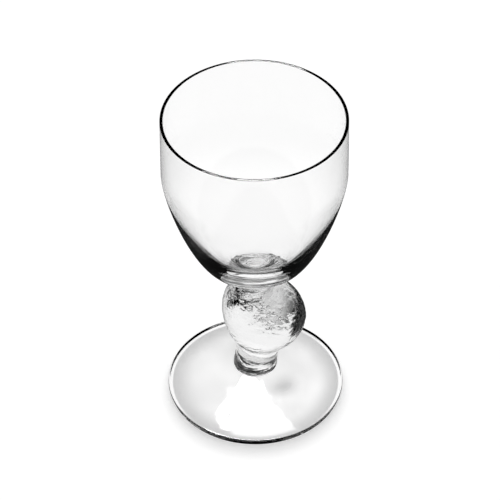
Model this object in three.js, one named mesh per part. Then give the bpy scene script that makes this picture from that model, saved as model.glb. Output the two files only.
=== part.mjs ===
// A stemmed wine glass in clear glass, made from three gathers that are fused end to
// end while hot: a thin round bowl, a solid ball knop with an ice texture that leans
// to one side, and a spread foot that is hollowed underneath. Millimetres, +Z up. The
// origin is the centre of the flat ring that the foot rests on.
import * as THREE from "three";

// Foot
const FOOT_RADIUS = 36.1;
const FOOT_HEIGHT = 12;
const FOOT_EDGE = 2.9; // thickness of the outer edge
const EDGE_ROUND = 0.8; // round along the top of the edge
const EDGE_TUCK = 0.55; // how far the edge tucks in towards the table
const HEEL_ROUND = 0.4; // round from the tucked edge to the ring
const FOOT_WALL = 5; // glass between the neck's seat and the hollow
const REST_RING = 4; // width of the flat ring that touches the table
const FOOT_SPREAD = 11.5; // how far the slope stays low, in from the edge
const FOOT_SWEEP = 7.5; // how far the slope's steep part reaches out from the neck
const SWEEP_DROP = 4.4; // how far the slope falls over that reach
const HOLLOW_FLAT = 10; // how far the hollow stays level, at its crown and at the ring

// Knop, with the neck below its ball and the collar above it. The neck stands on the
// foot's seat with a bead that bulges past it.
const KNOP_RADIUS = 16.8;
const KNOP_LEAN = 3.9; // how far the ball leans off the axis, towards +X
const SEAT_RADIUS = 8;
const BEAD_RADIUS = 9;
const BEAD_HEIGHT = 0.7; // height of the bead's widest place
const NECK_RADIUS = 8.7;
const NECK_LENGTH = 7.17;
const NECK_FILLET = 16;
const COLLAR_RADIUS = 7.2;
const COLLAR_LENGTH = 2.38;
const COLLAR_FILLET = 5;
const COLLAR_SWAY = 2; // how far the collar's waist swings back, towards -X
const COLLAR_EASE = 1; // how far the collar's flare is eased at both ends
const ICE_DENTS = 170;
const ICE_DENT_RADIUS = 2.7;
const ICE_DEPTH = 0.45;

// Bowl, with heights that add up from its seat on the collar to the rim
const BOWL_SEAT = 7.6;
const SHOULDER_RADIUS = 21.5;
const SHOULDER_HEIGHT = 12.6;
const SHOULDER_SLOPE = THREE.MathUtils.degToRad(53.3);
const SHOULDER_EASE = 5.2; // how far the curve follows that slope below the shoulder
const FLANK_EASE = 13; // how far it follows the slope above the shoulder
const INNER_SLOPE = THREE.MathUtils.degToRad(43);
const INNER_EASE = 14.5; // how far the inside follows its own slope above the shoulder
const BELLY_RADIUS = 36.22;
const BELLY_RISE = 42.3;
const BELLY_EASE = 6.5; // how far the wall runs upright below the belly
const RIM_RADIUS = 36;
const RIM_RISE = 26.6;
const SEAT_EASE = 2.2; // how far the bowl runs upright above the collar
const FLOOR_WALL = 6.8; // glass under the middle of the bowl's floor
const FLOOR_FLAT = 4; // how far the floor stays level from its middle
const SHOULDER_WALL = 3.8;
const BELLY_WALL = 1;
const RIM_WALL = 1.25; // diameter of the fire-polished rim

// Facets round each piece and along each kind of curve
const BOWL_SIDES = 60;
const FOOT_SIDES = 60;
const KNOP_SIDES = 66;
const WALL_STEPS = 9;
const EASE_STEPS = 5;
const ROUND_STEPS = 6;
const FILLET_STEPS = 3;
const BALL_STEPS = 24;

// How far a cubic bend's handles reach towards its corner to make it round
const ROUND_REACH = 0.55;

const glass = (color, roughness) => new THREE.MeshStandardMaterial({
  color,
  roughness,
  metalness: 0,
  transparent: true,
  opacity: 0.35,
});

const at = (radius, height) => new THREE.Vector2(radius, height);

const line = (from, to) => new THREE.LineCurve(from, to).getPoints(1);

const bend = (steps, from, leave, arrive, to) => (
  new THREE.CubicBezierCurve(from, leave, arrive, to).getPoints(steps)
);

const rounded = (steps, from, corner, to) => {
  const leave = from.clone().lerp(corner, ROUND_REACH);
  return bend(steps, from, leave, to.clone().lerp(corner, ROUND_REACH), to);
};

const arc = (steps, centre, radius, start, end, clockwise = false) => (
  new THREE.ArcCurve(centre.x, centre.y, radius, start, end, clockwise).getPoints(steps)
);

// Join stretches of a profile end to end in the (radius, height) plane, then turn it
// about the upright axis.
function turn(sides, ...stretches) {
  const [first, ...rest] = stretches;
  const points = [...first, ...rest.flatMap((stretch) => stretch.slice(1))];
  return new THREE.LatheGeometry(points, sides).rotateX(Math.PI / 2);
}

// Foot: the underside from the hollow's crown out to the ring, up the tucked edge, then
// the slope up to the neck's seat.
function footGeometry() {
  const tucked = FOOT_RADIUS - EDGE_TUCK;
  const browRadius = FOOT_RADIUS - EDGE_ROUND;
  const heel = at(tucked - HEEL_ROUND, 0);
  const ring = at(heel.x - REST_RING, 0);
  const crown = at(0, FOOT_HEIGHT - FOOT_WALL);
  const low = at(tucked, HEEL_ROUND);
  const widest = at(FOOT_RADIUS, FOOT_EDGE - EDGE_ROUND);
  const brow = at(browRadius, FOOT_EDGE);
  const seat = at(SEAT_RADIUS, FOOT_HEIGHT);
  return turn(
    FOOT_SIDES,
    bend(WALL_STEPS, crown, at(HOLLOW_FLAT, crown.y), at(ring.x - HOLLOW_FLAT, 0), ring),
    line(ring, heel),
    rounded(FILLET_STEPS, heel, at(tucked, 0), low),
    line(low, widest),
    rounded(FILLET_STEPS, widest, at(FOOT_RADIUS, FOOT_EDGE), brow),
    bend(
      WALL_STEPS,
      brow,
      at(browRadius - FOOT_SPREAD, FOOT_EDGE),
      at(SEAT_RADIUS + FOOT_SWEEP, FOOT_HEIGHT - SWEEP_DROP),
      seat,
    ),
    line(seat, at(0, FOOT_HEIGHT)),
  );
}

// Height from the ball's centre to the centre of the fillet that runs it into a neck.
const filletHeight = (neckRadius, fillet) => (
  Math.sqrt((KNOP_RADIUS + fillet) ** 2 - (neckRadius + fillet) ** 2)
);

const ballBelow = filletHeight(NECK_RADIUS, NECK_FILLET);
const ballAbove = filletHeight(COLLAR_RADIUS, COLLAR_FILLET);
const ballCentre = NECK_LENGTH + ballBelow;
const collarStart = ballCentre + ballAbove;
const knopHeight = collarStart + COLLAR_LENGTH;

// The knop before it is dented and leant over, from its seat on the foot to its seat
// under the bowl.
function turnedKnop() {
  const low = Math.atan2(-ballBelow, NECK_RADIUS + NECK_FILLET);
  const high = Math.atan2(ballAbove, COLLAR_RADIUS + COLLAR_FILLET);
  const neckFillet = at(NECK_RADIUS + NECK_FILLET, NECK_LENGTH);
  const collarFillet = at(COLLAR_RADIUS + COLLAR_FILLET, collarStart);
  const neckSeat = at(SEAT_RADIUS, 0);
  const bead = at(BEAD_RADIUS, BEAD_HEIGHT);
  const neck = at(NECK_RADIUS, NECK_LENGTH);
  const collar = at(COLLAR_RADIUS, collarStart);
  const collarSeat = at(BOWL_SEAT, knopHeight);
  return turn(
    KNOP_SIDES,
    line(at(0, 0), neckSeat),
    rounded(FILLET_STEPS, neckSeat, at(BEAD_RADIUS, 0), bead),
    bend(
      EASE_STEPS,
      bead,
      at(BEAD_RADIUS, 2 * BEAD_HEIGHT),
      at(NECK_RADIUS, NECK_LENGTH - BEAD_HEIGHT),
      neck,
    ),
    arc(EASE_STEPS, neckFillet, NECK_FILLET, Math.PI, low + Math.PI, true),
    arc(BALL_STEPS, at(0, ballCentre), KNOP_RADIUS, low, high),
    arc(FILLET_STEPS, collarFillet, COLLAR_FILLET, high + Math.PI, Math.PI, true),
    bend(
      FILLET_STEPS,
      collar,
      at(COLLAR_RADIUS, collarStart + COLLAR_EASE),
      at(BOWL_SEAT, knopHeight - COLLAR_EASE),
      collarSeat,
    ),
    line(collarSeat, at(0, knopHeight)),
  );
}

// Dents spread evenly over the ball along a golden spiral, each with its own depth.
const goldenAngle = Math.PI * (3 - Math.sqrt(5));
const goldenShare = (Math.sqrt(5) - 1) / 2;
const dents = Array.from({ length: ICE_DENTS }, (_, index) => {
  const up = 1 - (2 * index + 1) / ICE_DENTS;
  const out = Math.sqrt(1 - up * up);
  const turned = index * goldenAngle;
  const place = new THREE.Vector3(out * Math.cos(turned), out * Math.sin(turned), up);
  const depth = ICE_DEPTH * ((index * index * goldenShare) % 1);
  return { place: place.multiplyScalar(KNOP_RADIUS), depth };
});

// How deep the ice texture cuts at a place given from the ball's centre.
function iceDepth(place) {
  const depths = dents.map((dent) => {
    const away = place.distanceTo(dent.place) / ICE_DENT_RADIUS;
    return dent.depth * Math.max(0, 1 - away * away);
  });
  return Math.max(...depths);
}

// How far the knop stands to one side at a height: the ball leans over, and the collar
// above it swings back.
function sideways(height) {
  const lean = Math.sin((Math.PI * height) / knopHeight) ** 2;
  const up = Math.max(0, (height - ballCentre) / (knopHeight - ballCentre));
  const sway = Math.sin(Math.PI * up ** 3) ** 2;
  return KNOP_LEAN * lean - COLLAR_SWAY * sway;
}

// Knop: the turned form, dented all over its ball, then bent sideways between its two
// seats, as the soft glass was when it set. The seats stay flat, round and on the axis.
function knopGeometry() {
  const geometry = turnedKnop();
  const position = geometry.getAttribute("position");
  const point = new THREE.Vector3();
  for (let i = 0; i < position.count; i += 1) {
    point.fromBufferAttribute(position, i);
    const aside = sideways(point.z);
    const onBall = point.z > NECK_LENGTH && point.z < collarStart;
    point.z -= ballCentre;
    if (onBall) point.setLength(point.length() - iceDepth(point));
    position.setXYZ(i, point.x + aside, point.y, point.z + ballCentre);
  }
  geometry.computeVertexNormals();
  return geometry;
}

// Bowl: up the outside from the seat, over the round rim, and down the inside to the
// floor. The inside has its own slope at the shoulder, so the wall thins quickly above it.
function bowlGeometry() {
  const bead = RIM_WALL / 2;
  const bellyHeight = SHOULDER_HEIGHT + BELLY_RISE;
  const top = bellyHeight + RIM_RISE - bead;
  const upper = (top - bellyHeight) / 3;
  const slope = at(Math.cos(SHOULDER_SLOPE), Math.sin(SHOULDER_SLOPE));
  const lift = at(Math.cos(INNER_SLOPE), Math.sin(INNER_SLOPE));
  const seat = at(BOWL_SEAT, 0);
  const outer = at(SHOULDER_RADIUS, SHOULDER_HEIGHT);
  const inner = outer.clone().addScaledVector(at(-slope.y, slope.x), SHOULDER_WALL);
  const outBelly = BELLY_RADIUS;
  const inBelly = BELLY_RADIUS - BELLY_WALL;
  const inRim = RIM_RADIUS - RIM_WALL;
  return turn(
    BOWL_SIDES,
    line(at(0, 0), seat),
    bend(
      EASE_STEPS,
      seat,
      at(BOWL_SEAT, SEAT_EASE),
      outer.clone().addScaledVector(slope, -SHOULDER_EASE),
      outer,
    ),
    bend(
      WALL_STEPS,
      outer,
      outer.clone().addScaledVector(slope, FLANK_EASE),
      at(outBelly, bellyHeight - BELLY_EASE),
      at(outBelly, bellyHeight),
    ),
    bend(
      EASE_STEPS,
      at(outBelly, bellyHeight),
      at(outBelly, bellyHeight + upper),
      at(RIM_RADIUS, top - upper),
      at(RIM_RADIUS, top),
    ),
    arc(ROUND_STEPS, at(RIM_RADIUS - bead, top), bead, 0, Math.PI),
    bend(
      EASE_STEPS,
      at(inRim, top),
      at(inRim, top - upper),
      at(inBelly, bellyHeight + upper),
      at(inBelly, bellyHeight),
    ),
    bend(
      WALL_STEPS,
      at(inBelly, bellyHeight),
      at(inBelly, bellyHeight - BELLY_EASE),
      inner.clone().addScaledVector(lift, INNER_EASE),
      inner,
    ),
    bend(
      EASE_STEPS,
      inner,
      inner.clone().addScaledVector(lift, -SHOULDER_EASE),
      at(FLOOR_FLAT, FLOOR_WALL),
      at(0, FLOOR_WALL),
    ),
  );
}

const foot = new THREE.Mesh(footGeometry(), glass(0xe6ebea, 0.04));
foot.name = "foot";

const knop = new THREE.Mesh(knopGeometry(), glass(0xdde3e3, 0.1));
knop.name = "knop";
knop.position.z = FOOT_HEIGHT;

const bowl = new THREE.Mesh(bowlGeometry(), glass(0xf0f4f3, 0.03));
bowl.name = "bowl";
bowl.position.z = FOOT_HEIGHT + knopHeight;

const wineGlass = new THREE.Group();
wineGlass.name = "wine_glass";
wineGlass.add(foot, knop, bowl);

export default wineGlass;
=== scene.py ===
"""A clear wine glass with a leaning, ice-textured ball knop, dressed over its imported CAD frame."""

from __future__ import annotations

import logging
import math
from collections.abc import Sequence
from dataclasses import dataclass
from enum import Enum
from functools import reduce

import bmesh
import bpy
from mathutils import Euler, Matrix, Vector, noise

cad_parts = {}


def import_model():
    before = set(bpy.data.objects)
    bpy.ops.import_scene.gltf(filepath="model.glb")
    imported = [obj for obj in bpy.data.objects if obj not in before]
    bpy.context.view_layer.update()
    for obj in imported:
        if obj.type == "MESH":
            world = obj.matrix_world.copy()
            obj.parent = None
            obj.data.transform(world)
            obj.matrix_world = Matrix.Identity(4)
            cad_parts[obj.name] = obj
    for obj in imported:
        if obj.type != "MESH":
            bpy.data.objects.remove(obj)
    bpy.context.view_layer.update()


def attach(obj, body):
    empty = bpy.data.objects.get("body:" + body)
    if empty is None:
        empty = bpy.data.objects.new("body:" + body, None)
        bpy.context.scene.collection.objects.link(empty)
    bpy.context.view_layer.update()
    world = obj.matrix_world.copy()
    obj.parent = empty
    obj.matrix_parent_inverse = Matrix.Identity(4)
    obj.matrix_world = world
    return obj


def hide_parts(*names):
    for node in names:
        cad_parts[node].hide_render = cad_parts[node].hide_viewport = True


log = logging.getLogger("wine_glass")

MM = 0.001
MERGE_NEAR = 0.001
ROUND_REACH = 0.55
NOISE_MIDDLE = 0.5
ROOT = "root"

Profile = list[Vector]
Socket = bpy.types.NodeSocket
Value = float | Sequence[float] | Socket
Span = tuple[float, float]


class Slot(Enum):
    """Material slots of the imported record."""

    BOWL = "bowl_glass"
    KNOP = "knop_glass"
    FOOT = "foot_glass"


class Ray(Enum):
    """Kinds of light path that the floor and the world answer to."""

    CAMERA = "Is Camera Ray"
    GLOSSY = "Is Glossy Ray"
    TRANSMITTED = "Is Transmission Ray"
    DIFFUSE_DEPTH = "Diffuse Depth"
    GLOSSY_DEPTH = "Glossy Depth"
    TRANSMISSION_DEPTH = "Transmission Depth"


def line(start: Vector, end: Vector, steps: int = 1) -> Profile:
    """Straight stretch of a profile.

    Args:
        start: First point, as radius and height in millimetres.
        end: Last point.
        steps: Number of equal parts.

    Returns:
        The points of the stretch, both ends included.
    """
    return [start.lerp(end, i / steps) for i in range(steps + 1)]


def bend(start: Vector, leave: Vector, arrive: Vector, end: Vector, steps: int) -> Profile:
    """Cubic stretch of a profile.

    Args:
        start: First point, as radius and height in millimetres.
        leave: Handle that the curve leaves towards.
        arrive: Handle that the curve arrives from.
        end: Last point.
        steps: Number of parts.

    Returns:
        The points of the stretch, both ends included.
    """
    points = []
    for i in range(steps + 1):
        t = i / steps
        s = 1 - t
        points.append(s**3 * start + 3 * s * s * t * leave + 3 * s * t * t * arrive + t**3 * end)
    return points


def rounded(start: Vector, corner: Vector, end: Vector, steps: int) -> Profile:
    """Rounded corner of a profile.

    Args:
        start: First point, as radius and height in millimetres.
        corner: The corner that is rounded off.
        end: Last point.
        steps: Number of parts.

    Returns:
        The points of the stretch, both ends included.
    """
    return bend(start, start.lerp(corner, ROUND_REACH), end.lerp(corner, ROUND_REACH), end, steps)


def arc(centre: Vector, radius: float, start: float, end: float, steps: int) -> Profile:
    """Round stretch of a profile.

    Args:
        centre: Centre of the round, as radius and height in millimetres.
        radius: Its radius.
        start: First angle in radians.
        end: Last angle in radians.
        steps: Number of parts.

    Returns:
        The points of the stretch, both ends included.
    """
    turns = [start + (end - start) * i / steps for i in range(steps + 1)]
    return [centre + radius * Vector((math.cos(turn), math.sin(turn))) for turn in turns]


def joined(*stretches: Profile) -> Profile:
    """Join stretches end to end.

    Args:
        stretches: Stretches, each starting where the one before it ends.

    Returns:
        One profile, without the doubled points.
    """
    points = list(stretches[0])
    for stretch in stretches[1:]:
        points.extend(stretch[1:])
    return points


def rank(face: bmesh.types.BMFace, count: int) -> int:
    """Rank of a face by its lowest and highest corner, among a number of corners."""
    places = [vert.index for vert in face.verts]
    return min(places) * count + max(places)


def turned(profile: Profile, base: float, sides: int) -> bmesh.types.BMesh:
    """Spin a profile about the upright axis into a closed solid.

    Args:
        profile: Radius and height in millimetres, from axis to axis.
        base: Height of the profile's zero above the table, in millimetres.
        sides: Steps of the full turn.

    Returns:
        The bmesh, in metres, with its normals pointing out of the glass and its faces in one fixed order.
    """
    bm = bmesh.new()
    verts = [bm.verts.new((p.x * MM, 0.0, (base + p.y) * MM)) for p in profile]
    edges = [bm.edges.new(pair) for pair in zip(verts, verts[1:])]
    bmesh.ops.spin(
        bm,
        geom=verts + edges,
        cent=(0.0, 0.0, 0.0),
        axis=(0.0, 0.0, 1.0),
        angle=math.tau,
        steps=sides,
        use_merge=True,
    )
    bmesh.ops.remove_doubles(bm, verts=bm.verts, dist=MERGE_NEAR * MM)
    bmesh.ops.recalc_face_normals(bm, faces=bm.faces)
    bm.verts.index_update()
    bm.faces.sort(key=lambda face: rank(face, len(bm.verts)))
    return bm


def mark_seats(bm: bmesh.types.BMesh, heights: Sequence[float], radius: float) -> None:
    """Give the flat faces where two gathers are fused the second material, with a crisp border.

    Args:
        bm: The turned piece.
        heights: Heights of its seats above the table, in millimetres.
        radius: Radius that every seat lies within, in millimetres.
    """
    near = MERGE_NEAR * MM
    for face in bm.faces:
        face.smooth = True
        level = any(
            all(abs(v.co.z - z * MM) < near and v.co.xy.length < radius * MM + near for v in face.verts)
            for z in heights
        )
        face.material_index = 1 if level else 0
    for edge in bm.edges:
        kinds = {face.material_index for face in edge.link_faces}
        edge.smooth = len(kinds) < 2


def finished(bm: bmesh.types.BMesh, name: str, node: str) -> bpy.types.Object:
    """Turn a bmesh into a piece that stands for a CAD node.

    Args:
        bm: The shape, which is freed.
        name: Name of the piece.
        node: CAD node that it replaces.

    Returns:
        The object, riding on the glass.
    """
    mesh = bpy.data.meshes.new(name)
    bm.to_mesh(mesh)
    bm.free()
    piece = bpy.data.objects.new(name, mesh)
    bpy.context.scene.collection.objects.link(piece)
    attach(piece, ROOT)
    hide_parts(node)
    log.info("%s: %d faces", name, len(mesh.polygons))
    return piece


@dataclass
class Nodes:
    """Shorthand for wiring one node tree."""

    tree: bpy.types.NodeTree

    def add(self, kind: str, **values: Value) -> bpy.types.Node:
        """Add a node and set or link its inputs.

        Args:
            kind: Node type.
            values: Input names, with underscores for spaces, and what goes into them.

        Returns:
            The node.
        """
        node = self.tree.nodes.new(kind)
        for name, value in values.items():
            self.put(node.inputs[name.replace("_", " ")], value)
        return node

    def put(self, socket: Socket, value: Value) -> None:
        """Link a socket into another one, or set its value.

        Args:
            socket: Input that is fed.
            value: A number, several numbers or the output that feeds it.
        """
        if isinstance(value, Socket):
            self.tree.links.new(value, socket)
        else:
            socket.default_value = value

    def math(self, operation: str, first: Value, second: Value = 0.0) -> Socket:
        """Arithmetic on two values.

        Args:
            operation: Name of the Math node's operation.
            first: First value.
            second: Second value.

        Returns:
            The result's socket.
        """
        node = self.tree.nodes.new("ShaderNodeMath")
        node.operation = operation
        self.put(node.inputs[0], first)
        self.put(node.inputs[1], second)
        return node.outputs[0]

    def times(self, *values: Value) -> Socket:
        """Product of several values."""
        return reduce(lambda one, other: self.math("MULTIPLY", one, other), values)

    def plus(self, *values: Value) -> Socket:
        """Sum of several values."""
        return reduce(lambda one, other: self.math("ADD", one, other), values)

    def minus(self, first: Value, second: Value) -> Socket:
        """Difference of two values."""
        return self.math("SUBTRACT", first, second)

    def without(self, mask: Value) -> Socket:
        """What a mask leaves over."""
        return self.minus(1.0, mask)

    def above(self, value: Value, limit: Value) -> Socket:
        """One where a value is over a limit, and zero elsewhere."""
        return self.math("GREATER_THAN", value, limit)

    def below(self, value: Value, limit: Value) -> Socket:
        """One where a value is under a limit, and zero elsewhere."""
        return self.math("LESS_THAN", value, limit)

    def length(self, across: Value, along: Value) -> Socket:
        """Length of a way across and a way along."""
        return self.math("SQRT", self.plus(self.times(across, across), self.times(along, along)))

    def noise(self, place: Socket, scale: Value, detail: float) -> Socket:
        """Soft noise over a surface, between zero and one."""
        return self.add("ShaderNodeTexNoise", Vector=place, Scale=scale, Detail=detail).outputs[0]

    def step(
        self, value: Value, low: float, high: float, begin: float = 0.0, end: float = 1.0
    ) -> Socket:
        """Smooth step from one level to another.

        Args:
            value: What drives the step.
            low: Value at which the step begins.
            high: Value at which it ends.
            begin: Level before the step.
            end: Level after it.

        Returns:
            The level's socket.
        """
        node = self.tree.nodes.new("ShaderNodeMapRange")
        node.interpolation_type = "SMOOTHSTEP"
        for socket, number in zip(node.inputs[:5], (value, low, high, begin, end)):
            self.put(socket, number)
        return node.outputs[0]

    def fall(self, value: Value, low: float, high: float) -> Socket:
        """Smooth step from one down to zero."""
        return self.step(value, low, high, 1.0, 0.0)

    def edge(self, value: Value, place: float, soft: float) -> Socket:
        """Smooth step up from zero to one, about a place."""
        return self.step(value, place - soft, place + soft)

    def window(self, value: Value, low: float, high: float, soft: float) -> Socket:
        """One between two limits and zero outside them.

        Args:
            value: What is tested.
            low: Lower limit.
            high: Upper limit.
            soft: Half-width of the soft border.

        Returns:
            The mask's socket.
        """
        return self.times(self.edge(value, low, soft), self.fall(value, high - soft, high + soft))


class HandWork:
    """Shader group for the marks that hand work leaves in clear glass: draw waves, chill marks and haze."""

    NAME = "hand_work"
    INPUTS = {
        "Wave Scale": 60.0,
        "Wave Rise": 0.5,
        "Chill Scale": 700.0,
        "Chill Rise": 0.0,
        "Polish": 0.0,
    }
    WAVE_DETAIL = 1.0
    CHILL_DETAIL = 3.0
    CHILL_ROUGHNESS = 0.55
    CHILL_TWIST = 0.6
    HAZE_SCALE = 45.0
    HAZE_DETAIL = 4.0
    HAZE_SPAN = (0.5, 0.8)

    def __init__(self) -> None:
        """Build the group once."""
        tree = bpy.data.node_groups.new(self.NAME, "ShaderNodeTree")
        tree.interface.new_socket("Vector", in_out="INPUT", socket_type="NodeSocketVector")
        for name, value in self.INPUTS.items():
            socket = tree.interface.new_socket(name, in_out="INPUT", socket_type="NodeSocketFloat")
            socket.default_value = value
        for name in ("Height", "Roughness"):
            tree.interface.new_socket(name, in_out="OUTPUT", socket_type="NodeSocketFloat")
        self.tree = tree
        self.wire()

    def wire(self) -> None:
        """Wire waves and chill marks into one height, and finger haze into a roughness."""
        nodes = Nodes(self.tree)
        given = nodes.add("NodeGroupInput").outputs
        waves = nodes.noise(given["Vector"], given["Wave Scale"], self.WAVE_DETAIL)
        chill = nodes.add(
            "ShaderNodeTexNoise",
            Vector=given["Vector"],
            Scale=given["Chill Scale"],
            Detail=self.CHILL_DETAIL,
            Roughness=self.CHILL_ROUGHNESS,
            Distortion=self.CHILL_TWIST,
        )
        rise = nodes.times(waves, given["Wave Rise"])
        marks = nodes.times(chill.outputs[0], given["Chill Rise"])
        haze = nodes.step(nodes.noise(given["Vector"], self.HAZE_SCALE, self.HAZE_DETAIL), *self.HAZE_SPAN)
        result = nodes.add("NodeGroupOutput")
        nodes.put(result.inputs["Height"], nodes.plus(rise, marks))
        nodes.put(result.inputs["Roughness"], nodes.times(haze, given["Polish"]))


@dataclass(frozen=True)
class GlassFinish:
    """Clear glass, worked by hand to its own degree."""

    name: str
    wave_scale: float = 60.0
    wave_rise: float = 0.4
    chill_scale: float = 700.0
    chill_rise: float = 0.0
    polish: float = 0.012
    relief: float = 0.1
    index: float = 1.5
    clearness: float = 1.0

    def material(self, work: HandWork) -> bpy.types.Material:
        """Build the finish.

        Args:
            work: Group of the marks that the hand work leaves.

        Returns:
            The material.
        """
        made = bpy.data.materials.new(self.name)
        made.use_nodes = True
        nodes = Nodes(made.node_tree)
        shader = made.node_tree.nodes["Principled BSDF"]
        place = nodes.add("ShaderNodeTexCoord").outputs["Object"]
        marks = made.node_tree.nodes.new("ShaderNodeGroup")
        marks.node_tree = work.tree
        values = {
            "Vector": place,
            "Wave Scale": self.wave_scale,
            "Wave Rise": self.wave_rise,
            "Chill Scale": self.chill_scale,
            "Chill Rise": self.chill_rise,
            "Polish": self.polish,
        }
        for name, value in values.items():
            nodes.put(marks.inputs[name], value)
        relief = nodes.add(
            "ShaderNodeBump", Strength=1.0, Distance=self.relief * MM, Height=marks.outputs["Height"]
        )
        nodes.put(shader.inputs["Normal"], relief.outputs["Normal"])
        nodes.put(shader.inputs["Roughness"], marks.outputs["Roughness"])
        shader.inputs["Base Color"].default_value = (self.clearness, self.clearness, self.clearness, 1.0)
        shader.inputs["Transmission Weight"].default_value = 1.0
        shader.inputs["IOR"].default_value = self.index
        return made


@dataclass(frozen=True)
class FusedSeam:
    """Seat where two gathers have melted into one, which light passes without bending."""

    name: str = "fused_seam"

    def material(self) -> bpy.types.Material:
        """Build a seam that nothing shows of.

        Returns:
            The material.
        """
        made = bpy.data.materials.new(self.name)
        made.use_nodes = True
        shader = made.node_tree.nodes["Principled BSDF"]
        shader.inputs["Alpha"].default_value = 0.0
        return made


@dataclass
class Knop:
    """Solid ball between a neck and a collar, iced by its mould and leaning to one side."""

    base: float
    radius: float = 16.8
    lean: float = 3.9
    seat_radius: float = 8.0
    bead_radius: float = 9.0
    bead_height: float = 0.7
    neck_radius: float = 8.7
    neck_length: float = 7.17
    neck_fillet: float = 16.0
    collar_radius: float = 7.2
    collar_length: float = 2.38
    collar_fillet: float = 5.0
    collar_sway: float = 2.0
    collar_ease: float = 1.0
    crown_radius: float = 7.6
    ice_depth: float = 0.14
    ice_size: float = 2.0
    ice_swells: tuple[Span, ...] = ((0.4, 0.8), (1.0, 0.7), (2.1, 0.35))
    crack_scale: float = 0.7
    crack_width: float = 0.4
    crack_rise: float = 0.8
    ice_sink: float = 0.2
    mark_depth: float = 0.03
    mark_pitch: float = 1.3
    mark_span: float = 7.0
    mark_wander: float = 2.0
    sides: int = 256

    def reach(self, neck: float, fillet: float) -> float:
        """Height from the ball's centre to the centre of the fillet that runs it into a neck."""
        return math.sqrt((self.radius + fillet) ** 2 - (neck + fillet) ** 2)

    @property
    def below(self) -> float:
        """Reach of the ball down to the neck."""
        return self.reach(self.neck_radius, self.neck_fillet)

    @property
    def above(self) -> float:
        """Reach of the ball up to the collar."""
        return self.reach(self.collar_radius, self.collar_fillet)

    @property
    def centre(self) -> float:
        """Height of the ball's centre above the knop's seat."""
        return self.neck_length + self.below

    @property
    def height(self) -> float:
        """Height from the seat on the foot to the seat under the bowl."""
        return self.centre + self.above + self.collar_length

    def profile(self) -> Profile:
        """Outline of the knop before it is iced and leant over.

        Returns:
            The profile, from the foot's seat to the bowl's.
        """
        low = math.atan2(-self.below, self.neck_radius + self.neck_fillet)
        high = math.atan2(self.above, self.collar_radius + self.collar_fillet)
        start = self.centre + self.above
        seat = Vector((self.seat_radius, 0.0))
        bead = Vector((self.bead_radius, self.bead_height))
        neck = Vector((self.neck_radius, self.neck_length))
        rise = Vector((0.0, self.bead_height))
        collar = Vector((self.collar_radius, start))
        crown = Vector((self.crown_radius, self.height))
        ease = Vector((0.0, self.collar_ease))
        return joined(
            line(Vector((0.0, 0.0)), seat, steps=4),
            rounded(seat, Vector((self.bead_radius, 0.0)), bead, steps=16),
            bend(bead, bead + rise, neck - rise, neck, steps=24),
            arc(
                Vector((self.neck_radius + self.neck_fillet, self.neck_length)),
                self.neck_fillet,
                math.pi,
                low + math.pi,
                steps=8,
            ),
            arc(Vector((0.0, self.centre)), self.radius, low, high, steps=120),
            arc(
                Vector((self.collar_radius + self.collar_fillet, start)),
                self.collar_fillet,
                high + math.pi,
                math.pi,
                steps=8,
            ),
            bend(collar, collar + ease, crown - ease, crown, steps=12),
            line(crown, Vector((0.0, self.height)), steps=4),
        )

    def ice(self, place: Vector) -> float:
        """Relief of the ice texture.

        Args:
            place: Place from the ball's centre, in millimetres.

        Returns:
            How far the surface rises or sinks there, in millimetres.
        """
        where = place / self.ice_size
        swell = sum(rise * noise.noise(where * scale) for scale, rise in self.ice_swells)
        first, second = noise.voronoi(where * self.crack_scale)[0][:2]
        crack = self.crack_rise * min(self.crack_width, second - first)
        return self.ice_depth * (swell + crack - self.ice_sink)

    def aside(self, up: float) -> float:
        """How far the knop stands to one side, as the ball leans over and the collar swings back.

        Args:
            up: Height above the knop's seat, in millimetres.

        Returns:
            The distance towards +X, in millimetres.
        """
        lean = math.sin(math.pi * up / self.height) ** 2
        share = max(0.0, (up - self.centre) / (self.height - self.centre))
        return self.lean * lean - self.collar_sway * math.sin(math.pi * share**3) ** 2

    def shape(self, bm: bmesh.types.BMesh) -> None:
        """Ice the ball and lean it over between its seats.

        Args:
            bm: The turned knop.
        """
        middle = Vector((0.0, 0.0, self.base + self.centre))
        for vert in bm.verts:
            place = vert.co / MM
            up = place.z - self.base
            if 0.0 < up < self.height:
                from_middle = place - middle
                away = from_middle.normalized()
                end = min(up, self.height - up)
                hold = min(1.0, end)
                wander = self.mark_wander * noise.noise(from_middle / self.mark_span)
                wave = math.sin(math.tau * end / self.mark_pitch + wander)
                mark = self.mark_depth * wave * max(0.0, 1.0 - end / self.mark_span)
                flat = Vector((away.x, away.y, 0.0)).normalized()
                place += (away * self.ice(from_middle) + flat * mark) * hold
            place.x += self.aside(up)
            vert.co = place * MM

    def build(self) -> bpy.types.Object:
        """Model the knop.

        Returns:
            The piece.
        """
        bm = turned(self.profile(), self.base, self.sides)
        mark_seats(bm, (self.base, self.base + self.height), max(self.seat_radius, self.crown_radius))
        self.shape(bm)
        return finished(bm, "knop_iced", "knop")


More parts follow.
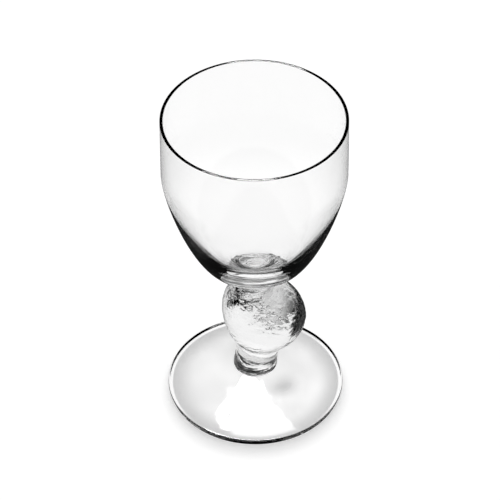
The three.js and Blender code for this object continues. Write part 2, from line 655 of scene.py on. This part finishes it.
@dataclass
class Foot:
    """Spread foot, hollowed underneath, with an edge that tucks in towards the flat ring it stands on."""

    radius: float = 36.1
    height: float = 12.0
    edge: float = 2.9
    edge_round: float = 0.8
    tuck: float = 0.55
    heel_round: float = 0.4
    wall: float = 5.0
    ring: float = 4.0
    spread: float = 11.5
    sweep: float = 7.5
    drop: float = 4.4
    flat: float = 10.0
    seat_radius: float = 8.0
    sides: int = 192

    def profile(self) -> Profile:
        """Outline from the hollow's crown, round the edge and up to the seat.

        Returns:
            The profile.
        """
        tucked = self.radius - self.tuck
        heel = Vector((tucked - self.heel_round, 0.0))
        ring = heel - Vector((self.ring, 0.0))
        crown = Vector((0.0, self.height - self.wall))
        flat = Vector((self.flat, 0.0))
        low = Vector((tucked, self.heel_round))
        widest = Vector((self.radius, self.edge - self.edge_round))
        brow = Vector((self.radius - self.edge_round, self.edge))
        seat = Vector((self.seat_radius, self.height))
        return joined(
            bend(crown, crown + flat, ring - flat, ring, steps=40),
            line(ring, heel, steps=2),
            rounded(heel, Vector((tucked, 0.0)), low, steps=8),
            line(low, widest, steps=6),
            rounded(widest, Vector((self.radius, self.edge)), brow, steps=12),
            bend(
                brow,
                brow - Vector((self.spread, 0.0)),
                seat + Vector((self.sweep, -self.drop)),
                seat,
                steps=48,
            ),
            line(seat, Vector((0.0, self.height)), steps=4),
        )

    def build(self) -> bpy.types.Object:
        """Model the foot.

        Returns:
            The piece.
        """
        bm = turned(self.profile(), 0.0, self.sides)
        mark_seats(bm, (self.height,), self.seat_radius)
        return finished(bm, "foot_spread", "foot")


@dataclass
class Bowl:
    """Thin round bowl on a thick shoulder, with a fire-polished rim."""

    base: float
    seat_radius: float
    seat_ease: float = 2.2
    shoulder_radius: float = 21.5
    shoulder_height: float = 12.6
    shoulder_slope: float = math.radians(53.3)
    shoulder_ease: float = 5.2
    flank_ease: float = 13.0
    inner_ease: float = 14.5
    belly_radius: float = 36.22
    belly_rise: float = 42.3
    belly_ease: float = 6.5
    rim_radius: float = 36.0
    rim_rise: float = 26.6
    floor_wall: float = 6.8
    floor_flat: float = 4.0
    shoulder_wall: float = 3.8
    inner_slope: float = math.radians(43.0)
    belly_wall: float = 1.0
    rim_wall: float = 1.25
    mark_depth: float = 0.04
    mark_pitch: float = 1.6
    mark_span: float = 18.0
    mark_wander: float = 2.0
    sides: int = 192

    def flank(
        self, shoulder: Vector, slope: Vector, ease: float, belly: Vector, rim: Vector
    ) -> tuple[Profile, Profile]:
        """One face of the wall above the shoulder.

        Args:
            shoulder: Where the face leaves the shoulder.
            slope: Direction in which it leaves.
            ease: How far it keeps to that direction.
            belly: Its widest place.
            rim: Where it meets the rim.

        Returns:
            The stretch up to the belly and the stretch up to the rim.
        """
        third = Vector((0.0, (rim.y - belly.y) / 3))
        upright = Vector((0.0, self.belly_ease))
        lower = bend(shoulder, shoulder + ease * slope, belly - upright, belly, steps=70)
        upper = bend(belly, belly + third, rim - third, rim, steps=24)
        return lower, upper

    def profile(self) -> Profile:
        """Outline up the outside, over the rim and down the inside.

        Returns:
            The profile, from the seat's middle to the floor's middle.
        """
        bead = self.rim_wall / 2
        belly = self.shoulder_height + self.belly_rise
        top = belly + self.rim_rise - bead
        slope = Vector((math.cos(self.shoulder_slope), math.sin(self.shoulder_slope)))
        lift = Vector((math.cos(self.inner_slope), math.sin(self.inner_slope)))
        seat = Vector((self.seat_radius, 0.0))
        outer = Vector((self.shoulder_radius, self.shoulder_height))
        inner = outer + self.shoulder_wall * Vector((-slope.y, slope.x))
        out_lower, out_upper = self.flank(
            outer, slope, self.flank_ease, Vector((self.belly_radius, belly)), Vector((self.rim_radius, top))
        )
        in_lower, in_upper = self.flank(
            inner,
            lift,
            self.inner_ease,
            Vector((self.belly_radius - self.belly_wall, belly)),
            Vector((self.rim_radius - self.rim_wall, top)),
        )
        floor = Vector((0.0, self.floor_wall))
        return joined(
            line(Vector((0.0, 0.0)), seat, steps=4),
            bend(
                seat,
                seat + Vector((0.0, self.seat_ease)),
                outer - self.shoulder_ease * slope,
                outer,
                steps=120,
            ),
            out_lower,
            out_upper,
            arc(Vector((self.rim_radius - bead, top)), bead, 0.0, math.pi, steps=16),
            in_upper[::-1],
            in_lower[::-1],
            bend(
                inner,
                inner - self.shoulder_ease * lift,
                floor + Vector((self.floor_flat, 0.0)),
                floor,
                steps=60,
            ),
        )

    def shape(self, bm: bmesh.types.BMesh) -> None:
        """Leave faint tool marks round the underside, above the seat.

        Args:
            bm: The turned bowl.
        """
        bm.normal_update()
        for vert in bm.verts:
            place = vert.co / MM
            up = place.z - self.base
            if 0.0 < up < self.mark_span and vert.normal.z < 0.0:
                flat = Vector((place.x, place.y, 0.0)).normalized()
                wander = self.mark_wander * noise.noise(place / self.mark_span)
                wave = math.sin(math.tau * up / self.mark_pitch + wander)
                fade = min(1.0, up) * (1.0 - up / self.mark_span)
                vert.co = (place + flat * (self.mark_depth * wave * fade)) * MM

    def build(self) -> bpy.types.Object:
        """Model the bowl.

        Returns:
            The piece.
        """
        bm = turned(self.profile(), self.base, self.sides)
        mark_seats(bm, (self.base,), self.seat_radius)
        self.shape(bm)
        return finished(bm, "bowl_blown", "bowl")


@dataclass
class WineGlass:
    """The whole glass: a foot, a knop and a bowl, fused end to end."""

    foot: Foot
    knop: Knop
    bowl: Bowl

    def build(self) -> None:
        """Model the pieces from the table up and dress them."""
        work = HandWork()
        seam = FusedSeam().material()
        finishes = (
            GlassFinish("glass_foot", wave_scale=110.0, wave_rise=0.6, relief=0.22),
            GlassFinish(
                "glass_knop_iced", chill_scale=420.0, chill_rise=1.0, relief=0.12, polish=0.03, clearness=0.92
            ),
            GlassFinish("glass_bowl", wave_scale=30.0, wave_rise=0.5, relief=0.1, polish=0.0),
        )
        for part, finish in zip((self.foot, self.knop, self.bowl), finishes):
            piece = part.build()
            piece.data.materials.append(finish.material(work))
            piece.data.materials.append(seam)


@dataclass(frozen=True)
class FloorSpot:
    """Where light meets the floor, as sockets of the floor's node tree, in metres and radians."""

    place: Socket
    across: Socket
    along: Socket
    away: Socket
    turn: Socket

    @classmethod
    def of(cls, nodes: Nodes) -> FloorSpot:
        """Measure the spot from the glass's axis.

        Args:
            nodes: The floor's node tree.

        Returns:
            The spot.
        """
        place = nodes.add("ShaderNodeTexCoord").outputs["Object"]
        parts = nodes.add("ShaderNodeSeparateXYZ", Vector=place).outputs
        across, along = parts["X"], parts["Y"]
        return cls(place, across, along, nodes.length(across, along), nodes.math("ARCTAN2", across, along))


@dataclass(frozen=True)
class PaintedDarkSector:
    """Dark sector painted into the floor and seen only through the glass, between two distances from the
    glass and two turns about it.
    """

    span: Span
    sweep: Span
    back: float
    soft: float = 0.002
    soft_turn: float = math.radians(5.0)
    soft_back: float = 0.001

    def mask(self, nodes: Nodes, spot: FloorSpot) -> Socket:
        """Where the painted dark sector lies.

        Args:
            nodes: The floor's node tree.
            spot: Where light meets the floor.

        Returns:
            The painted dark sector's mask.
        """
        return nodes.times(
            nodes.window(spot.turn, *self.sweep, self.soft_turn),
            nodes.window(spot.away, *self.span, self.soft),
            nodes.fall(spot.along, self.back - self.soft_back, self.back + self.soft_back),
        )


@dataclass(frozen=True)
class PaintedGreyShade:
    """Painted shade under the back of the foot, which shows through the ball."""

    level: float = 0.75
    across: Span = (-0.016, -0.002)
    along: Span = (0.019, 0.0345)
    soft: float = 0.002
    reach: float = 0.0363

    def mask(self, nodes: Nodes, spot: FloorSpot) -> Socket:
        """How much light the painted shade takes.

        Args:
            nodes: The floor's node tree.
            spot: Where light meets the floor.

        Returns:
            The painted shade's mask.
        """
        return nodes.times(
            nodes.step(spot.across, *self.across, self.level, 0.0),
            nodes.window(spot.along, *self.along, self.soft),
            nodes.below(spot.away, self.reach),
        )


@dataclass(frozen=True)
class PaintedBallShadow:
    """Painted soft shadow beside the stem, where the leaning ball keeps light off."""

    level: float = 0.65
    across: float = 0.0105
    along: float = -0.0025
    span: Span = (0.0, 0.009)

    def mask(self, nodes: Nodes, spot: FloorSpot) -> Socket:
        """How much light the painted shadow takes.

        Args:
            nodes: The floor's node tree.
            spot: Where light meets the floor.

        Returns:
            The painted shadow's mask.
        """
        across = nodes.minus(spot.across, self.across)
        along = nodes.minus(spot.along, self.along)
        return nodes.step(nodes.length(across, along), *self.span, self.level, 0.0)


@dataclass(frozen=True)
class PaintedFrontLight:
    """Painted patch of light under the front of the foot, with wavering sides."""

    level: float = 0.35
    left: float = -0.011
    right: float = 0.001
    right_slope: float = -0.52
    back: float = -0.004
    reach: float = 0.0325
    waver: float = 0.01
    grain: float = 190.0
    detail: float = 4.0
    soft: float = 0.001
    soft_back: float = 0.003

    def light(self, nodes: Nodes, spot: FloorSpot) -> Socket:
        """Light of the painted patch.

        Args:
            nodes: The floor's node tree.
            spot: Where light meets the floor.

        Returns:
            The painted patch's light.
        """
        waves = nodes.noise(spot.place, self.grain, self.detail)
        across = nodes.plus(spot.across, nodes.times(nodes.minus(waves, NOISE_MIDDLE), self.waver))
        right = nodes.plus(nodes.times(spot.along, self.right_slope), self.right)
        return nodes.times(
            nodes.edge(across, self.left, self.soft),
            nodes.edge(nodes.minus(right, across), 0.0, self.soft),
            nodes.fall(spot.along, self.back - self.soft_back, self.back + self.soft_back),
            nodes.fall(spot.away, self.reach - self.soft, self.reach + self.soft),
            self.level,
        )


@dataclass(frozen=True)
class PaintedFootLight:
    """Painted light for what the glass gathers under its foot, along the foot's edge and in a wide ring about
    it.
    """

    pool: float = 0.3
    pool_fade: Span = (0.024, 0.0348)
    cloud: float = 1.2
    ring: float = 0.45
    ring_span: Span = (0.0343, 0.0363)
    ring_soft: float = 0.0003
    halo: float = 0.1
    halo_rise: Span = (0.042, 0.055)
    halo_fall: Span = (0.11, 0.16)

    def light(self, nodes: Nodes, spot: FloorSpot, clouds: Socket) -> Socket:
        """Light that is painted on the floor.

        Args:
            nodes: The floor's node tree.
            spot: Where light meets the floor.
            clouds: Noise that makes the light under the foot uneven.

        Returns:
            The painted light.
        """
        uneven = nodes.plus(nodes.times(nodes.minus(clouds, NOISE_MIDDLE), self.cloud), 1.0)
        pool = nodes.times(nodes.fall(spot.away, *self.pool_fade), self.pool, uneven)
        ring = nodes.times(nodes.window(spot.away, *self.ring_span, self.ring_soft), self.ring)
        rise = nodes.step(spot.away, *self.halo_rise)
        halo = nodes.times(rise, nodes.fall(spot.away, *self.halo_fall), self.halo)
        return nodes.plus(pool, ring, halo)


@dataclass(frozen=True)
class GuideRule:
    """How often light may bounce inside the glass and still find the floor white; past that the floor is
    painted dark.
    """

    near: float = 3.5
    distant: float = 7.5
    distant_from: float = 0.055
    front: Span = (0.03, 0.1)
    front_wide: float = 0.65
    back: float = 0.004
    back_reach: float = 0.0345
    back_most: float = 1.5

    def straight(self, nodes: Nodes, spot: FloorSpot, bounces: Socket) -> Socket:
        """Where the floor stays white: after few bounces, or close in front of the glass after any number.

        Args:
            nodes: The floor's node tree.
            spot: Where light meets the floor.
            bounces: How many mirror bounces the light has made inside the glass.

        Returns:
            The mask of the white floor.
        """
        ahead = nodes.times(spot.along, -1.0)
        front = nodes.times(
            nodes.below(nodes.math("ABSOLUTE", spot.across), nodes.times(ahead, self.front_wide)),
            nodes.above(ahead, self.front[0]),
            nodes.below(ahead, self.front[1]),
        )
        distant = nodes.above(spot.along, self.distant_from)
        most = nodes.plus(nodes.times(distant, self.distant - self.near), self.near)
        return nodes.math("MAXIMUM", nodes.below(bounces, most), front)

    def under_back(self, nodes: Nodes, spot: FloorSpot, bounces: Socket) -> Socket:
        """Where light that has bounced finds the floor painted dark under the back of the foot.

        Args:
            nodes: The floor's node tree.
            spot: Where light meets the floor.
            bounces: How many mirror bounces the light has made inside the glass.

        Returns:
            The mask of the painted dark floor.
        """
        return nodes.times(
            nodes.above(spot.along, self.back),
            nodes.below(spot.away, self.back_reach),
            nodes.above(bounces, self.back_most),
        )


@dataclass
class Floor:
    """Pale table top.

    Glass shows it white, but for dark sectors painted on either side, painted shade and shadow under and
    beside the foot, and painted light pooled under it. Gloss on the outside of the glass shows little of it,
    and it keeps the glass's shadow.
    """

    side: float = 6.0
    gap: float = 0.00002
    paint: float = 0.9
    glow: float = 0.25
    glow_through: float = 0.18
    gloss_dim: float = 0.97
    end: Span = (0.7, 0.98)
    one_piece: float = 3.0
    cloud_scale: float = 55.0
    cloud_detail: float = 1.0
    # Dark sectors painted into the floor, seen only through the glass
    left_painted_dark: PaintedDarkSector = PaintedDarkSector(
        span=(0.0366, 0.15), sweep=(math.radians(-95.0), math.radians(-38.0)), back=0.7
    )
    right_painted_dark: PaintedDarkSector = PaintedDarkSector(
        span=(0.036, 0.06), sweep=(math.radians(-12.0), math.radians(50.0)), back=0.039
    )
    # Painted shade, painted shadow and painted light on the floor under and beside the foot
    grey_shade: PaintedGreyShade = PaintedGreyShade()
    ball_shadow: PaintedBallShadow = PaintedBallShadow()
    front_light: PaintedFrontLight = PaintedFrontLight()
    painted_foot_light: PaintedFootLight = PaintedFootLight()
    guide: GuideRule = GuideRule()

    def white(self, nodes: Nodes, spot: FloorSpot, clouds: Socket, rays: bpy.types.NodeOutputs) -> Socket:
        """How white the floor is where it shows through the glass.

        Args:
            nodes: The floor's node tree.
            spot: Where light meets the floor.
            clouds: Noise that makes the painted shadow beside the stem uneven.
            rays: The light's path.

        Returns:
            The level, from dark to white.
        """
        bounces = rays[Ray.GLOSSY_DEPTH.value]
        passed = rays[Ray.TRANSMISSION_DEPTH.value]
        direct = nodes.below(nodes.plus(bounces, passed), self.one_piece)
        several = nodes.above(passed, self.one_piece)
        # Painted shade for light through the glass: dark sectors on either side, grey shade under the back of
        # the foot, a shadow beside the stem and dark floor after many bounces
        return nodes.times(
            nodes.fall(spot.away, *self.end),
            nodes.without(nodes.times(self.left_painted_dark.mask(nodes, spot), direct)),
            nodes.without(nodes.times(self.right_painted_dark.mask(nodes, spot), direct)),
            nodes.without(self.guide.under_back(nodes, spot, bounces)),
            nodes.without(nodes.times(self.grey_shade.mask(nodes, spot), several)),
            nodes.without(nodes.times(self.ball_shadow.mask(nodes, spot), clouds)),
            self.guide.straight(nodes, spot, bounces),
        )

    def material(self) -> bpy.types.Material:
        """Build the table's paint, which carries painted shade and painted light.

        Returns:
            The material.
        """
        made = bpy.data.materials.new("table_paint_and_painted_light")
        made.use_nodes = True
        made.node_tree.nodes.clear()
        nodes = Nodes(made.node_tree)
        rays = nodes.add("ShaderNodeLightPath").outputs
        through = rays[Ray.TRANSMITTED.value]
        spot = FloorSpot.of(nodes)
        clouds = nodes.noise(spot.place, self.cloud_scale, self.cloud_detail)
        shade = nodes.math("MAXIMUM", self.white(nodes, spot, clouds, rays), nodes.without(through))
        mirrored = nodes.above(rays[Ray.GLOSSY.value], through)
        dim = nodes.without(nodes.times(mirrored, self.gloss_dim))
        # The floor's colour carries the painted shade
        paint = nodes.add("ShaderNodeBsdfDiffuse", Color=nodes.times(shade, dim, self.paint))
        # Painted light under the foot: a pool, a ring along the edge, a halo and a patch at the front
        painted_pools = nodes.plus(self.painted_foot_light.light(nodes, spot, clouds), self.front_light.light(nodes, spot))
        under = nodes.times(through, nodes.plus(painted_pools, self.glow_through))
        seen = nodes.times(rays[Ray.CAMERA.value], self.glow)
        glow = nodes.add("ShaderNodeEmission", Strength=nodes.times(nodes.plus(seen, under), shade))
        both = nodes.add("ShaderNodeAddShader")
        nodes.put(both.inputs[0], paint.outputs[0])
        nodes.put(both.inputs[1], glow.outputs[0])
        nodes.put(nodes.add("ShaderNodeOutputMaterial").inputs["Surface"], both.outputs[0])
        return made

    def build(self) -> bpy.types.Object:
        """Lay the table top under the glass.

        Returns:
            The table top.
        """
        bm = bmesh.new()
        bmesh.ops.create_grid(bm, x_segments=1, y_segments=1, size=self.side / 2)
        mesh = bpy.data.meshes.new("table_top")
        bm.to_mesh(mesh)
        bm.free()
        mesh.materials.append(self.material())
        mesh.transform(Matrix.Translation((0.0, 0.0, -self.gap)))
        table = bpy.data.objects.new("table_top", mesh)
        bpy.context.scene.collection.objects.link(table)
        return table


@dataclass(frozen=True)
class OverheadPanel:
    """Bright panel overhead, which narrows towards the back and shows in the gloss."""

    level: float = 16.0
    left: float = -0.6
    left_slope: float = 0.75
    right: float = 0.24
    right_slope: float = -0.3
    along: Span = (-0.36, 0.87)
    soft: float = 0.025
    lowest: float = 0.01

    def light(self, nodes: Nodes) -> Socket:
        """Light of the panel by direction.

        Args:
            nodes: The world's node tree.

        Returns:
            The panel's light.
        """
        way = nodes.add("ShaderNodeTexCoord").outputs["Generated"]
        parts = nodes.add("ShaderNodeSeparateXYZ", Vector=way).outputs
        up = nodes.math("MAXIMUM", parts["Z"], self.lowest)
        across = nodes.math("DIVIDE", parts["X"], up)
        along = nodes.math("DIVIDE", parts["Y"], up)
        left = nodes.plus(nodes.times(along, self.left_slope), self.left)
        right = nodes.plus(nodes.times(along, self.right_slope), self.right)
        return nodes.times(
            nodes.window(along, *self.along, self.soft),
            nodes.edge(nodes.minus(across, left), 0.0, self.soft),
            nodes.edge(nodes.minus(right, across), 0.0, self.soft),
            self.level,
        )


@dataclass(frozen=True)
class BackCard:
    """White card behind the glass, which shows where light runs through its thick parts."""

    level: float = 0.9
    left: float = math.radians(-24.0)
    right: float = math.radians(-2.0)
    lean: float = 1.6
    rise: Span = (-0.05, 0.3)
    soft: float = 0.03
    most_bounces: float = 3.5

    def light(self, nodes: Nodes, bounces: Socket) -> Socket:
        """Light of the card by direction.

        Args:
            nodes: The world's node tree.
            bounces: How many mirror bounces the light has made inside the glass.

        Returns:
            The card's light.
        """
        way = nodes.add("ShaderNodeTexCoord").outputs["Generated"]
        parts = nodes.add("ShaderNodeSeparateXYZ", Vector=way).outputs
        turn = nodes.math("ARCTAN2", parts["X"], parts["Y"])
        right = nodes.plus(nodes.times(parts["Z"], self.lean), self.right)
        return nodes.times(
            nodes.edge(turn, self.left, self.soft),
            nodes.edge(nodes.minus(right, turn), 0.0, self.soft),
            nodes.window(parts["Z"], *self.rise, self.soft),
            nodes.below(bounces, self.most_bounces),
            self.level,
        )


@dataclass
class Studio:
    """Room that is dark to the glass, with a soft dome over the table, a panel, a card and a lamp."""

    lamp_level: float = 0.87
    lamp_lean: float = math.radians(2.2)
    lamp_spread: float = math.radians(3.6)
    dome: float = 0.6
    panel: OverheadPanel = OverheadPanel()
    card: BackCard = BackCard()
    bounces: int = 128

    def lamp(self) -> bpy.types.Object:
        """Hang the lamp that casts the glass's shadow on the table.

        Returns:
            The lamp.
        """
        light = bpy.data.lights.new("key_lamp", "SUN")
        light.energy = self.lamp_level
        light.angle = self.lamp_spread
        lamp = bpy.data.objects.new("key_lamp", light)
        lamp.rotation_euler = Euler((-self.lamp_lean, 0.0, 0.0))
        lamp.visible_glossy = False
        lamp.visible_transmission = False
        bpy.context.scene.collection.objects.link(lamp)
        return lamp

    def world(self) -> bpy.types.World:
        """Build the room: white to the camera, a dome to the table, a panel to gloss, a card to the glass.

        Returns:
            The world.
        """
        room = bpy.data.worlds.new("studio")
        room.cycles.sampling_method = "NONE"
        room.use_nodes = True
        room.node_tree.nodes.clear()
        nodes = Nodes(room.node_tree)
        rays = nodes.add("ShaderNodeLightPath").outputs
        bounces = rays[Ray.GLOSSY_DEPTH.value]
        strewn = nodes.above(rays[Ray.DIFFUSE_DEPTH.value], 0.0)
        once = nodes.times(nodes.above(bounces, 0.0), nodes.below(bounces, 2.0))
        outside = nodes.below(rays[Ray.TRANSMISSION_DEPTH.value], 1.0)
        glossy = nodes.above(nodes.times(once, outside), strewn)
        through = nodes.above(rays[Ray.TRANSMITTED.value], strewn)
        level = nodes.plus(
            rays[Ray.CAMERA.value],
            nodes.times(strewn, self.dome),
            nodes.times(glossy, self.panel.light(nodes)),
            nodes.times(through, self.card.light(nodes, bounces)),
        )
        light = nodes.add("ShaderNodeBackground", Color=(1.0, 1.0, 1.0, 1.0), Strength=level)
        nodes.put(nodes.add("ShaderNodeOutputWorld").inputs["Surface"], light.outputs[0])
        return room

    def build(self) -> None:
        """Light the scene, with enough bounces for light that runs along inside the glass."""
        self.lamp()
        scene = bpy.context.scene
        scene.world = self.world()
        scene.view_settings.view_transform = "Standard"
        scene.cycles.blur_glossy = 0.0
        scene.cycles.max_bounces = self.bounces
        scene.cycles.transmission_bounces = self.bounces
        scene.cycles.glossy_bounces = self.bounces


@dataclass
class PhotoCamera:
    """Camera that looks down on the glass from the front."""

    place: tuple[float, float, float] = (-0.00194, -0.76904, 0.78426)
    dip: float = 0.745162
    roll: float = -0.0066
    lens: float = 189.976
    sensor: float = 36.0
    sight: float = 20.0

    def build(self) -> bpy.types.Object:
        """Stand the camera and make it the scene's own.

        Returns:
            The camera.
        """
        data = bpy.data.cameras.new("photo_camera")
        data.lens = self.lens
        data.sensor_width = self.sensor
        data.clip_end = self.sight
        camera = bpy.data.objects.new("photo_camera", data)
        tilt = math.pi / 2 - self.dip
        turn = Euler((tilt, 0.0, 0.0)).to_matrix() @ Matrix.Rotation(self.roll, 3, "Z")
        camera.matrix_world = Matrix.Translation(self.place) @ turn.to_4x4()
        bpy.context.scene.collection.objects.link(camera)
        bpy.context.scene.camera = camera
        return camera


def main() -> None:
    """Build the studio and the glass."""
    logging.basicConfig(level=logging.INFO, format="%(name)s: %(message)s")
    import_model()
    PhotoCamera().build()
    Floor().build()
    Studio().build()
    foot = Foot()
    knop = Knop(base=foot.height)
    bowl = Bowl(base=foot.height + knop.height, seat_radius=knop.crown_radius)
    WineGlass(foot, knop, bowl).build()


if __name__ == "__main__":
    main()
